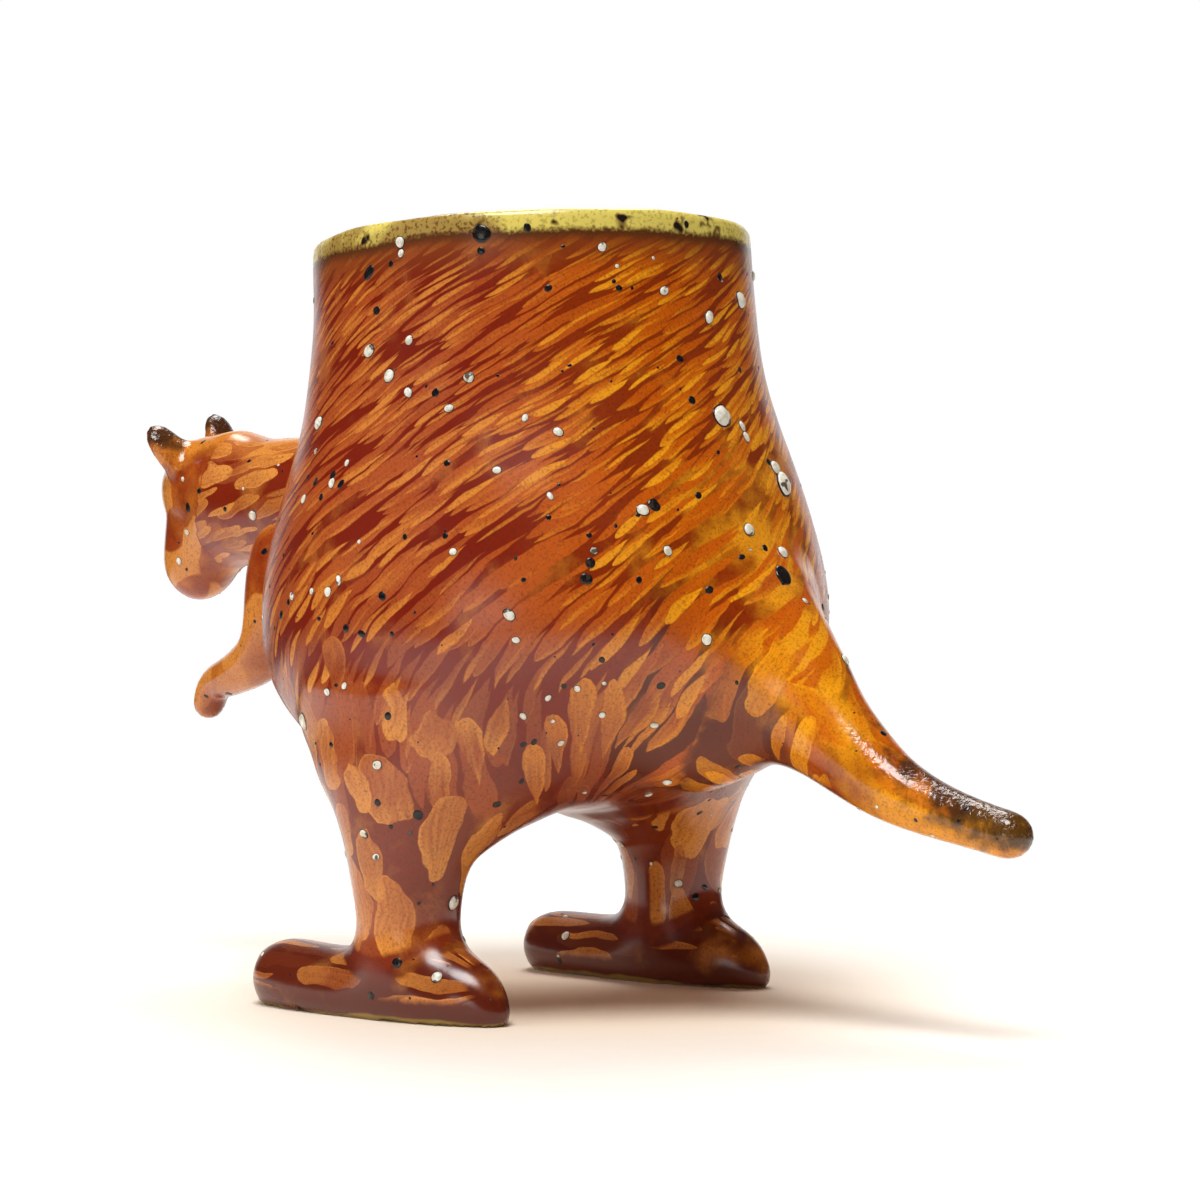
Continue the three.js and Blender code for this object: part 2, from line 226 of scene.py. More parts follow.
def facet_free(node):
    """Points and triangles of a finer copy of a CAD solid, with its facets rounded away."""
    source = bmesh.new()
    source.from_mesh(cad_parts[node].data)
    bmesh.ops.remove_doubles(source, verts=source.verts, dist=SLIVER)
    bmesh.ops.join_triangles(
        source, faces=source.faces, angle_face_threshold=FLAT_PAIR, angle_shape_threshold=SQUARE_PAIR)
    crease = source.edges.layers.float.new("crease_edge")
    for edge in source.edges:
        if len(edge.link_faces) == 2 and edge.calc_face_angle() > SHARP_EDGE:
            edge[crease] = 1
    mesh = bpy.data.meshes.new(node + "_fine")
    source.to_mesh(mesh)
    source.free()
    copy = placed(node + "_fine", mesh)
    copy.modifiers.new("rounded", "SUBSURF").levels = ROUNDINGS
    fine = copy.evaluated_get(bpy.context.evaluated_depsgraph_get()).to_mesh()
    fine.calc_loop_triangles()
    points = np.empty(len(fine.vertices) * 3, np.float32)
    fine.vertices.foreach_get("co", points)
    triangles = np.empty(len(fine.loop_triangles) * 3, np.int32)
    fine.loop_triangles.foreach_get("vertices", triangles)
    bpy.data.objects.remove(copy)
    bpy.data.meshes.remove(mesh)
    return points.reshape(-1, 3), triangles.reshape(-1, 3)


class Field:
    """Distances to a surface on a block of voxels."""

    def __init__(self, first, values):
        self.first = first
        self.values = values

    def at(self, points):
        """Distances at points, and the far distance outside the block."""
        place = points / VOXEL - self.first
        corner = np.floor(place).astype(int)
        share = place - corner
        size = np.array(self.values.shape)
        known = ((corner >= 0) & (corner < size - 1)).all(1)
        corner = np.clip(corner, 0, size - 2)
        total = np.zeros(len(points))
        for step in np.ndindex(2, 2, 2):
            weight = np.where(step, share, 1 - share).prod(1)
            total += weight * self.values[tuple((corner + step).T)]
        return np.where(known, total, BAND * VOXEL)

    def slope(self, points):
        """Direction in which the distance grows, as unit vectors."""
        parts = []
        for axis in np.eye(3) * VOXEL:
            parts.append(self.at(points + axis) - self.at(points - axis))
        slope = np.stack(parts, 1)
        return slope / np.maximum(np.linalg.norm(slope, axis=1, keepdims=True), 1e-9)


def block(low, high):
    """First voxel and size of the block that holds a box with its band."""
    first = np.floor(np.array(low) / VOXEL).astype(int) - BAND
    last = np.ceil(np.array(high) / VOXEL).astype(int) + BAND
    return first, last - first + 1


def distance_to(node):
    """Field of a CAD solid's own surroundings."""
    points, triangles = facet_free(node)
    first, size = block(points.min(0), points.max(0))
    grid = openvdb.FloatGrid.createLevelSetFromPolygons(
        points, triangles=triangles, transform=openvdb.createLinearTransform(voxelSize=VOXEL), halfWidth=BAND)
    values = np.full(size, BAND * VOXEL, np.float32)
    grid.copyToArray(values, ijk=tuple(int(i) for i in first))
    return Field(first, values)


def smeared(a, b, reach):
    """Union of two fields with a fillet of clay."""
    share = np.clip(0.5 + 0.5 * (b - a) / reach, 0, 1)
    return b + (a - b) * share - reach * share * (1 - share)


def near_inside(field):
    """Voxels in the open inside of the cup and in the inner half of its wall."""
    clay = field.values < 0
    walled = np.logical_or.accumulate(clay, 0) & np.logical_or.accumulate(clay[::-1], 0)[::-1] & ~clay
    for _ in range(round(HALF_WALL / VOXEL)):
        for axis in range(3):
            walled = walled | np.roll(walled, 1, axis) | np.roll(walled, -1, axis)
    return walled


def whole_skin(fields):
    """Field of all the pieces smeared together, flat where the feet stand."""
    first, size = block(cad_low, cad_high)
    values = np.full(size, BAND * VOXEL, np.float32)
    hollow = np.zeros(size, bool)

    def window(field):
        start = field.first - first
        return tuple(slice(s, s + n) for s, n in zip(start, field.values.shape))

    hollow[window(fields["cup_body"])] = near_inside(fields["cup_body"])
    for node in NODES:
        reach = SMEAR[kind(node)]
        clay = fields[node].values
        part = window(fields[node])
        if kind(node) == "leg":
            level = (np.arange(clay.shape[2]) + fields[node].first[2]) * VOXEL
            clay = clay + HIP_SINK * smooth(HIP_LOW, HIP_HIGH, level)
        bare = np.minimum(values[part], clay)
        if reach:
            bare = np.where(hollow[part], bare, smeared(values[part], clay, reach))
        values[part] = bare
    near = np.argwhere(np.abs(values) < FINGER_BAND * VOXEL)
    values[tuple(near.T)] += UNEVENNESS * finger_dents((near + first) * VOXEL)
    depth = -(np.arange(size[2]) + first[2]) * VOXEL
    ground = np.broadcast_to(depth, size).astype(np.float32)
    return Field(first, -smeared(-values, -ground, SOLE_ROUNDING))


def edges_of(quads):
    """Each edge once, as pairs of points."""
    pairs = np.concatenate([quads[:, [k, (k + 1) % 4]] for k in range(4)])
    return np.unique(np.sort(pairs, 1), axis=0)


def evened(points, edges):
    """Points moved to the mean of their neighbours."""
    count = np.bincount(edges.ravel(), minlength=len(points))
    total = np.zeros_like(points)
    for axis in range(3):
        total[:, axis] = np.bincount(edges[:, 0], points[edges[:, 1], axis], len(points))
        total[:, axis] += np.bincount(edges[:, 1], points[edges[:, 0], axis], len(points))
    return total / count[:, None]


def skin_mesh(field):
    """Points, outward normals and quads of the skin."""
    grid = openvdb.FloatGrid(BAND * VOXEL)
    grid.copyFromArray(field.values, ijk=tuple(int(i) for i in field.first))
    grid.transform = openvdb.createLinearTransform(voxelSize=VOXEL)
    points, quads = grid.convertToQuads(0)
    points = points.astype(float)
    quads = quads.astype(int)
    edges = edges_of(quads)
    for _ in range(EVENINGS):
        points = points + EVENING * (evened(points, edges) - points)
        points = points - field.at(points)[:, None] * field.slope(points)
    corners = points[quads]
    facing = np.cross(corners[:, 2] - corners[:, 0], corners[:, 3] - corners[:, 1])
    normals = field.slope(points)
    sole = (normals[:, 2] < SOLE_FACING) & (points[:, 2] < SOLE_ROUNDING)
    points[sole, 2] = 0
    if (facing * normals[quads[:, 0]]).sum() < 0:
        quads = quads[:, ::-1]
    return points, normals, quads


def smooth(low, high, values):
    """Share that rises evenly from 0 at low to 1 at high, or falls where low is the larger."""
    share = np.clip((values - low) / (high - low), 0, 1)
    return share * share * (3 - 2 * share)


def finger_dents(points):
    """Smooth unevenness of a hand-made surface, about -1 to 1, from a few crossing waves."""
    draw = np.random.default_rng(FINGER_SEED)
    total = np.zeros(len(points))
    for _ in range(FINGER_WAVES):
        direction = draw.normal(size=3)
        direction /= np.linalg.norm(direction)
        length = FINGER_REACH * draw.uniform(*FINGER_SPREAD)
        total += np.sin(2 * math.pi * (points @ direction) / length + draw.uniform(0, 2 * math.pi))
    return total / math.sqrt(FINGER_WAVES)


def nearest_piece(distances, quads):
    """Piece that each face belongs to, with ragged borders evened out."""
    label = distances[:, quads].sum(2).argmin(0)
    pieces = np.arange(len(distances))[:, None]
    for _ in range(BORDER_EVENINGS):
        votes = np.zeros(distances.shape)
        for corner in quads.T:
            np.add.at(votes, (label, corner), 1)
        label = (votes[:, quads].sum(2) + OWN_VOTE * (pieces == label)).argmax(0)
    return label


def hole_loops(quads):
    """Closed rows of points round the holes of a sheet of quads."""
    directed = np.concatenate([quads[:, [k, (k + 1) % 4]] for k in range(4)])
    present = set(map(tuple, directed.tolist()))
    onward = {}
    for a, b in present:
        if (b, a) not in present:
            onward.setdefault(b, []).append(a)
    loops = []
    while onward:
        start = next(iter(onward))
        loop = [start]
        while True:
            ways = onward[loop[-1]]
            step = ways.pop()
            if not ways:
                del onward[loop[-1]]
            if step == start:
                break
            loop.append(step)
        loops.append(loop)
    return loops


def cup_polar(points):
    """Turn from the tail towards the animal's left side, radius and height in the leaning cup."""
    belly = Vector((0, (cup_low.y + cup_high.y) / 2, BELLY_HEIGHT))
    x, y, z = (points - np.array(belly)).T
    back = y * math.cos(CUP_LEAN) + z * math.sin(CUP_LEAN)
    up = z * math.cos(CUP_LEAN) - y * math.sin(CUP_LEAN)
    return np.arctan2(x, back), np.hypot(x, back), up + BELLY_HEIGHT


def body_flow(turn, height):
    """Along and across the strokes on the body, and how much the two slant to each other."""
    rise = height - UPRIGHT_HEIGHT
    levels = np.linspace(0, rise.max(), FLOW_LEVELS)
    slants = MOST_SLANT * (1 - np.exp(-levels / LIE_OVER))
    slant = np.interp(rise, levels, slants)
    steep = np.hypot(1, slant)
    along = np.interp(rise, levels, np.cumsum(np.hypot(1, slants)) * levels[1])
    across = CUP_GIRTH_RADIUS * turn + np.interp(rise, levels, np.cumsum(slants) * levels[1])
    return np.stack([np.where(rise < 0, rise, along), across, MM * slant / steep], 1) / MM


def belly_flow(turn, height):
    """Upright strokes, laid downwards, counted from the tail behind and from the chest in front."""
    front = np.abs(turn) > math.pi / 2
    from_chest = np.where(turn > 0, turn - math.pi, turn + math.pi)
    around = CUP_GIRTH_RADIUS * np.where(front, from_chest, turn)
    return np.stack([-height, around, np.zeros_like(turn)], 1) / MM


def limb_flow(points, start, face, pattern, crosswise=False):
    """Along and round a limb, from a point on its axis and the side its pattern is counted from."""
    axis, radius, stretch = pattern
    axis = np.array(axis, float) / np.linalg.norm(axis)
    face = np.array(face, float) - axis * np.dot(face, axis)
    face /= np.linalg.norm(face)
    offset = points - np.array(start)
    along = offset @ axis
    around = radius * np.arctan2(offset @ np.cross(axis, face), offset @ face)
    pair = (around, along) if crosswise else (along, around)
    off_axis = np.linalg.norm(offset - along[:, None] * axis, axis=1) / radius
    plain = smooth(*SEAM_CLEAR, math.pi * radius - np.abs(around)) * smooth(*AXIS_CLEAR, off_axis)
    return np.stack([pair[0] / stretch[0], pair[1] / stretch[1], np.zeros(len(points))], 1) / MM, plain


def limb_course(node):
    """Start of a limb, the side its pattern is counted from, the pattern, and whether it lies crosswise."""
    if node == "head":
        return limb_course("neck")
    low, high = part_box(node)
    start = (low + high) / 2
    side = math.copysign(1, start.x)
    face = {"foot": (side, 0, 1), "tail": (1, 0, 0), "neck": (0, 0, 1)}.get(kind(node), (side, 0, 0))
    if kind(node) == "leg":
        start.z = THIGH_TOP - LIMB_REACH * MM
    if node == "tail":
        start = Vector((0, low.y, start.z))
    return start, face, PATTERNS[kind(node)], node == "tail"


fields = {node: distance_to(node) for node in NODES}
skin = whole_skin(fields)
points, normals, quads = skin_mesh(skin)
distances = np.stack([fields[node].at(points) for node in NODES])
label = nearest_piece(distances, quads)

# What the glaze needs to know at each point
turn, radius, height = cup_polar(points)
around = np.abs(turn)
level = points[:, 2]
upward = normals[:, 2]
from_cup = distances[0]
limb = distances[1:].argmin(0)
from_limb = distances[1:].min(0)
on_cup = from_cup < from_limb
inner_wall = normals[:, 0] * np.sin(turn) + normals[:, 1] * np.cos(turn) < INNER_FACING
bowl = (upward > BOWL_FACING) & (radius < BOWL_RADIUS)
inward = on_cup & (height > INNER_HEIGHT) & (inner_wall | bowl)


def nearest_is(*kinds):
    """Where the nearest limb is of one of these kinds."""
    return np.isin(limb, [index for index, node in enumerate(LIMBS) if kind(node) in kinds])


def through(node, axis):
    """Share of the way through a piece's box."""
    low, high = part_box(node)
    return (points[:, axis] - low[axis]) / (high[axis] - low[axis])


is_leg = nearest_is("leg")
is_foot = nearest_is("foot")
is_tail = nearest_is("tail")
down_tail = through("tail", 1)

# The strokes' courses, clear of the seams between the limbs' patterns
flow_limb = np.zeros_like(points)
unseamed = np.zeros(len(points))
for index, node in enumerate(LIMBS):
    here = limb == index
    flow_limb[here], unseamed[here] = limb_flow(points[here], *limb_course(node))
neck, head = NODES.index("neck"), NODES.index("head")
from_patterns = distances[1:].copy()
from_patterns[neck - 1] = np.minimum(distances[neck], distances[head])
from_patterns[head - 1] = BAND * VOXEL
nearest_two = np.partition(from_patterns, 1, 0)[:2]
unseamed *= smooth(*SEAM_CLEAR, nearest_two[1] - nearest_two[0])

# Shares of the body's, the chest's and the limbs' strokes
hip = is_leg * smooth(*HIP_FUR, level)
rump = is_tail * smooth(*RUMP_FUR, from_cup) * smooth(*RUMP_FACING, upward)
limb_share = smooth(*LIMB_NEAR, from_limb) * unseamed
cup_share = np.maximum.reduce([smooth(*CUP_NEAR, from_cup), hip, rump])
cup_share *= 1 - limb_share * (from_cup > from_limb) * (1 - hip) * (1 - rump)
limb_share *= np.where(is_tail, smooth(*TAIL_BLOTCHES, down_tail) * smooth(*TAIL_BLOTCH_FACING, upward), 1)
limb_share *= np.where(is_foot, smooth(*FOOT_BLOTCHES, level), 1)
limb_share[nearest_is(*PATCHY)] = 0
body_share = cup_share * smooth(*BODY_END, around)
chest_share = cup_share * smooth(*CHEST_START, around)
shares = np.stack([body_share, chest_share, limb_share], 1)

# Golden, scorched and inner glaze
warm = np.where(on_cup, smooth(*WARM_TURN, around) * smooth(*WARM_HEIGHT, height), LIMB_WARMTH)
warm = np.where(is_tail, np.maximum(warm, smooth(*TAIL_WARMTH, from_limb)), warm)
dark = np.where(is_tail & ~on_cup, smooth(*TAIL_SCORCH, down_tail + SCORCH_FACING * upward), 0)
for ear in ("left_ear", "right_ear"):
    is_ear = limb == LIMBS.index(ear)
    dark = np.where(is_ear & ~on_cup, smooth(*EAR_SCORCH, through(ear, 2)), dark)
tone = np.stack([warm, dark, inward.astype(float)], 1)
below_rim = np.where(on_cup, (RIM_HEIGHT - height) / MM, OFF_CUP_BELOW)

# Pooled amber with painted light on the upper sides of the neck and head, deep brown and thin wash
near_limb = smooth(*POOL_NEAR, from_limb)
amber_and_lit_top = np.zeros(len(points))
thin = np.zeros(len(points))
for name, share in AMBER.items():
    amber_and_lit_top += share * nearest_is(name) * near_limb
for name, share in THIN.items():
    thin += share * nearest_is(name) * near_limb
tail_pool = np.maximum(smooth(*TAIL_POOL_FACING, upward), smooth(*TAIL_POOL_END, down_tail))
amber_and_lit_top = np.where(is_tail, amber_and_lit_top * tail_pool, amber_and_lit_top)
saddle = on_cup * smooth(*SADDLE_TURN, around) * smooth(*SADDLE_TOP, height) * smooth(*SADDLE_FOOT, height)
heel = is_foot * smooth(*HEEL_START, through("left_foot", 1)) * smooth(*HEEL_EDGE, level)
# painted highlight on the upward sides of the neck and head, added to the amber
lit_crown = nearest_is("neck", "head") * near_limb * smooth(*LIT_CROWN_FACING, upward)
amber_and_lit_top = np.maximum.reduce([amber_and_lit_top, SADDLE_AMBER * saddle, HEEL_AMBER * heel, CROWN_PAINTED_LIGHT * lit_crown])
close_limb = smooth(*DEEP_NEAR, from_limb)
leg_deep = is_foot * close_limb + LEG_DEEP * is_leg * smooth(*LEG_DEEP_HEIGHT, level)
tail_deep = is_tail * smooth(*TAIL_DEEP_FACING, upward) * smooth(*TAIL_DEEP_END, down_tail)
arm_deep = ARM_DEEP * nearest_is("arm") * close_limb * smooth(*ARM_DEEP_FACING, upward)
pools_and_lit_top = np.stack([amber_and_lit_top, np.maximum.reduce([leg_deep, tail_deep, arm_deep]), thin], 1)
attributes = {
    "flow_body": body_flow(turn, height),
    "flow_belly": belly_flow(turn, height),
    "flow_limb": flow_limb,
    "shares": shares,
    "tone": tone,
    "below_rim": below_rim,
    "pools_and_lit_top": pools_and_lit_top,
}


def piece_mesh(name, faces):
    """Closed mesh of one piece: its part of the skin, with its joints closed inside."""
    used, local = np.unique(faces, return_inverse=True)
    corners = local.reshape(-1, 4)
    place = points[used].tolist()
    facing = normals[used].tolist()
    source = list(used)
    polygons = corners.tolist()
    for loop in hole_loops(corners):
        ring = points[used[loop]]
        owned = points[faces[np.isin(corners, loop).any(1)]].mean((0, 1))
        inward_step = owned - ring.mean(0)
        inward_step *= JOINT_SETBACK / max(np.linalg.norm(inward_step), 1e-9)
        place.append((ring.mean(0) + inward_step).tolist())
        facing.append((-inward_step / JOINT_SETBACK).tolist())
        source.append(used[loop[0]])
        for a, b in zip(loop, loop[1:] + loop[:1]):
            polygons.append([a, b, len(place) - 1])
    mesh = bpy.data.meshes.new(name)
    mesh.from_pydata(place, [], polygons)
    mesh.polygons.foreach_set("use_smooth", [True] * len(mesh.polygons))
    for key, values in attributes.items():
        kind = "FLOAT" if values.ndim == 1 else "FLOAT_VECTOR"
        layer = mesh.attributes.new(key, kind, "POINT")
        field_name = "value" if values.ndim == 1 else "vector"
        layer.data.foreach_set(field_name, values[source].astype(np.float32).ravel())
    mesh.normals_split_custom_set_from_vertices(facing)
    return mesh


def paint(red, green, blue):
    """Colour from its 0 to 255 display values."""
    def linear(value):
        share = value / 255
        return share / 12.92 if share <= 0.04045 else ((share + 0.055) / 1.055) ** 2.4
    return (linear(red), linear(green), linear(blue), 1)


def plug(socket, value):
    if isinstance(value, Wire):
        socket.id_data.links.new(value.socket, socket)
    else:
        socket.default_value = value


class Wire:
    """Number or colour from a node, with arithmetic that adds nodes."""

    def __init__(self, socket):
        self.socket = socket

    def calc(self, operation, *others):
        node = self.socket.id_data.nodes.new("ShaderNodeMath")
        node.operation = operation
        for socket, value in zip(node.inputs, (self, *others)):
            plug(socket, value)
        return Wire(node.outputs[0])

    def __add__(self, other):
        return self.calc("ADD", other)

    def __sub__(self, other):
        return self.calc("SUBTRACT", other)

    def __mul__(self, other):
        return self.calc("MULTIPLY", other)

    def __truediv__(self, other):
        return self.calc("DIVIDE", other)

    def less_from(self, whole):
        """whole minus this."""
        return self.calc("MULTIPLY_ADD", -1.0, whole)

    def swing(self, amount):
        """Noise about zero."""
        return (self - 0.5) * amount

    def within(self, least, more):
        return self * more + least

    def clamped(self):
        node = self.socket.id_data.nodes.new("ShaderNodeClamp")
        plug(node.inputs[0], self)
        return Wire(node.outputs[0])

    def parts(self):
        kind = "SeparateColor" if self.socket.type == "RGBA" else "SeparateXYZ"
        node = self.socket.id_data.nodes.new("ShaderNode" + kind)
        plug(node.inputs[0], self)
        return [Wire(socket) for socket in node.outputs]


class Fade(NamedTuple):
    """Share that rises from nothing at low to cover at high, which may be the lower value."""

    low: float
    high: float
    cover: float = 1


class Graph:
    """Adds nodes to a shader tree."""

    def __init__(self, tree):
        self.tree = tree

    def add(self, kind, inputs=None, output=0, **settings):
        node = self.tree.nodes.new("ShaderNode" + kind)
        for key, value in settings.items():
            setattr(node, key, value)
        for key, value in (inputs or {}).items():
            plug(node.inputs[key], value)
        return Wire(node.outputs[output])

    def vector(self, x, y, z):
        return self.add("CombineXYZ", {"X": x, "Y": y, "Z": z})

    def mix(self, share, first, second):
        return self.add("Mix", {0: share, 6: first, 7: second}, output=2, data_type="RGBA")

    def ease(self, value, low, high):
        """Share that rises from 0 at low to 1 at high."""
        inputs = {"Value": value, "From Min": min(low, high), "From Max": max(low, high)}
        if low > high:
            inputs.update({"To Min": 1.0, "To Max": 0.0})
        return self.add("MapRange", inputs, interpolation_type="SMOOTHSTEP", clamp=False)

    def fade(self, value, fade):
        share = self.ease(value, fade.low, fade.high)
        return share if fade.cover == 1 else share * fade.cover

    def noise(self, place, size, detail=2.0, output=0):
        return self.add("TexNoise", {"Vector": place, "Scale": 1 / size, "Detail": detail}, output=output)

    def attribute(self, name, output="Vector"):
        return self.add("Attribute", output=output, attribute_name=name)


def new_material(name):
    """Material, what adds nodes to it, and its shader."""
    material = bpy.data.materials.new(name)
    material.use_nodes = True
    return material, Graph(material.node_tree), material.node_tree.nodes["Principled BSDF"]


STROKE_INPUTS = (
    "Along", "Across", "Slant", "Steep", "Length", "Width", "Seed", "Amount", "Blunt", "Point", "Low", "High",
    "Reach")
STROKE_OUTPUTS = ("Mask", "Tip", "Tint", "Pool")
STROKE_EDGE = 0.16  # softness of a stroke's edge in millimetres
STROKE_SCATTER = 8  # unevenness, in millimetres, of where a field of strokes ends
ROW_SHIFT = 0.37  # of a layer against the one before, in rows
STAGGER = 9  # of the rows against each other, in strokes, at most
HALF_LENGTH = (0.3, 0.12)  # of a stroke in its cell: the least, and how much more
HALF_WIDTH = (0.29, 0.2)
LENGTH_ROOM = 0.86  # share of a cell's length that strokes may take up
STROKE_TIP = Fade(0.2, -0.9)  # laden low end, in half lengths
POOL = Fade(0.9, 0.0)  # glaze along the lower edge, in millimetres from it


def brush_strokes():
    """Node group of a layer of brush strokes, each inside its own cell of a staggered field, in millimetres.

    A stroke is a drop: blunt and laden at its low end, drawn out to a point at its high end, with more glaze
    along its lower edge.
    """
    group = bpy.data.node_groups.new("brush_strokes", "ShaderNodeTree")
    for name in STROKE_INPUTS:
        group.interface.new_socket(name, in_out="INPUT", socket_type="NodeSocketFloat")
    for name in STROKE_OUTPUTS:
        group.interface.new_socket(name, in_out="OUTPUT", socket_type="NodeSocketFloat")
    graph = Graph(group)
    source = group.nodes.new("NodeGroupInput")
    along, across, slant, steep, length, width, seed, amount, blunt, point, low, high, reach = (
        Wire(out) for out in source.outputs[:len(STROKE_INPUTS)])
    row_place = across / width + seed * ROW_SHIFT
    row = row_place.calc("FLOOR")
    stagger = graph.add("TexWhiteNoise", {"Vector": graph.vector(row, seed, 0.0)}, noise_dimensions="2D")
    place = along / length + stagger * STAGGER
    column = place.calc("FLOOR")
    cell = graph.vector(column, row, seed)
    chance = graph.add("TexWhiteNoise", {"Vector": cell}, noise_dimensions="3D")
    other = graph.vector(row, column, seed + 0.5)
    draw_a, draw_b, draw_c = graph.add("TexWhiteNoise", {"Vector": cell}, 1, noise_dimensions="3D").parts()
    draw_d, tint, _ = graph.add("TexWhiteNoise", {"Vector": other}, 1, noise_dimensions="3D").parts()
    half_length = draw_a.within(*HALF_LENGTH)
    half_width = draw_b.within(*HALF_WIDTH)
    shift_along = (draw_c - 0.5) * (half_length * -2 + LENGTH_ROOM)
    shift_across = (draw_d - 0.5) * (half_width * -2 + 1)
    off_along = (place - column - 0.5 - shift_along) * length
    off_across = (row_place - row - 0.5 - shift_across) * width
    lengthwise = (off_along - off_across * slant) / (half_length * length)
    sideways = off_across / (half_width * width)
    blunt_end = (lengthwise + 1).calc("MAXIMUM", 0.0).calc("POWER", blunt)
    drawn_end = lengthwise.less_from(1.0).calc("MAXIMUM", 0.0).calc("POWER", point)
    profile = blunt_end * drawn_end
    scale = half_width * width * steep
    depth = (profile - sideways.calc("ABSOLUTE")) * scale
    middle = (column + 0.5 + shift_along - stagger * STAGGER) * length + draw_b.swing(STROKE_SCATTER)
    kept = chance.calc("LESS_THAN", amount)
    kept = kept * middle.calc("GREATER_THAN", low) * middle.calc("LESS_THAN", high)
    aside = ((row + 0.5 + shift_across - seed * ROW_SHIFT) * width).calc("ABSOLUTE")
    mask = (depth / STROKE_EDGE).clamped() * kept * aside.calc("LESS_THAN", reach)
    tip = graph.fade(lengthwise, STROKE_TIP)
    pool = graph.fade((profile + sideways) * scale, POOL)
    sink = group.nodes.new("NodeGroupOutput")
    for socket, value in zip(sink.inputs, (mask, tip, tint, pool)):
        plug(socket, value)
    return group


class Layer(NamedTuple):
    """One layer of strokes: the flow it follows and where it shows, and its strokes in millimetres."""

    flow: str
    shown: str
    length: float
    width: float
    amount: float  # share of the places that are filled
    blunt: float  # how drawn out the low end is
    point: float  # how drawn out the high end is
    load: float  # from a thin wash to a laden brush
    cover: float
    low: float = -999
    high: float = 999
    reach: float = 999  # how far to each side of its middle line
    on_feet: float = 1  # share of its cover that is left on the feet


# From the first laid to the last. With more than 13 the shader is too big for Cycles, and renders black.
LAYERS = (
    Layer("flow_body", "body", 24, 3.8, 0.85, 0.6, 1.0, -0.45, 0.75, low=-2),
    Layer("flow_body", "body", 20, 3.1, 0.64, 0.6, 1.1, -0.45, 0.8, low=0),
    Layer("flow_body", "body", 16, 2.5, 0.55, 0.65, 1.1, -0.28, 0.85, low=1),
    Layer("flow_body", "body", 14, 1.5, 0.45, 0.7, 1.0, 0.1, 0.6, low=2),
    Layer("flow_body", "body", 12, 2.4, 0.34, 0.6, 1.0, 0.7, 0.95, low=8),
    Layer("flow_belly", "body", 17, 4.6, 0.6, 0.55, 1.1, -0.4, 0.5, low=-45, high=-26),
    Layer("flow_belly", "body", 14, 3.9, 0.66, 0.5, 1.1, 0.35, 0.9, low=-43, high=-30),
    Layer("flow_belly", "chest", 24, 4.2, 1.0, 0.6, 1.0, -0.2, 0.8, reach=29),
    Layer("flow_belly", "chest", 19, 3.0, 0.8, 0.6, 1.0, -0.1, 0.85, reach=31),
    Layer("flow_limb", "limb", 19, 9.5, 0.8, 0.42, 0.5, -0.3, 0.55, high=LIMB_REACH, on_feet=0.15),
    Layer("flow_limb", "limb", 13, 7.6, 0.62, 0.42, 0.45, 0.45, 0.9, high=LIMB_REACH, on_feet=0.6),
    Layer("flow_limb", "limb", 10, 4.2, 0.35, 0.42, 0.6, 0.5, 0.7, high=LIMB_REACH, on_feet=0.9),
)
FLOWS = ("flow_body", "flow_belly", "flow_limb")
SHOWN = ("body", "chest", "limb")

BASE = paint(126, 26, 3)
DEEP = paint(78, 28, 12)
BASE_WARM = paint(148, 52, 4)
WASH = paint(178, 80, 30)
WASH_WARM = paint(210, 96, 4)
WASH_LOW = paint(152, 72, 40)
LADEN = paint(214, 128, 46)
LADEN_WARM = paint(252, 166, 22)
LADEN_LIMB = paint(226, 148, 66)
RIM = paint(234, 214, 106)
TOAST = paint(126, 78, 32)
RIM_EDGE = paint(88, 48, 20)
UNDER_RIM = paint(132, 62, 22)
LINER = paint(190, 170, 92)
SCORCH = paint(34, 24, 20)
GRAIN = paint(84, 34, 14)
SOLE_LINE = paint(158, 132, 48)
BARE_CLAY = paint(186, 160, 126)

# Noises of the glaze: size and detail
BEND_NOISE = (17 * MM, 1.0)  # of the strokes' courses
RIPPLE_NOISE = (5 * MM, 1.0)  # of their outlines
FRAY_NOISE = (1.5 * MM, 2.0)  # of their edges
MOTTLE_NOISE = (14 * MM, 3.0)
GRAIN_NOISE = (0.35 * MM, 2.0)
CLUSTER_NOISE = (24 * MM, 1.0)  # of richer and poorer strokes
WASH_NOISE = (9 * MM, 2.0)
POOL_NOISE = (7 * MM, 3.0)
PATCH_NOISE = (9 * MM, 1.5)
SPECK_NOISE = (0.55 * MM, 1.0)
RIM_NOISE = (9 * MM, 5.0)
RIM_GRAIN_NOISE = (0.5 * MM, 2.0)
TOAST_NOISE = (9 * MM, 3.0)
RIM_SPOT_NOISE = (3.2 * MM, 2.0)
SCORCH_NOISE = (3 * MM, 4.0)
GLOSS_NOISE = (7 * MM, 2.0)
PIT_NOISE = (0.9 * MM, 3.0)
RELIEF_NOISE = (1.1 * MM, 2.0)

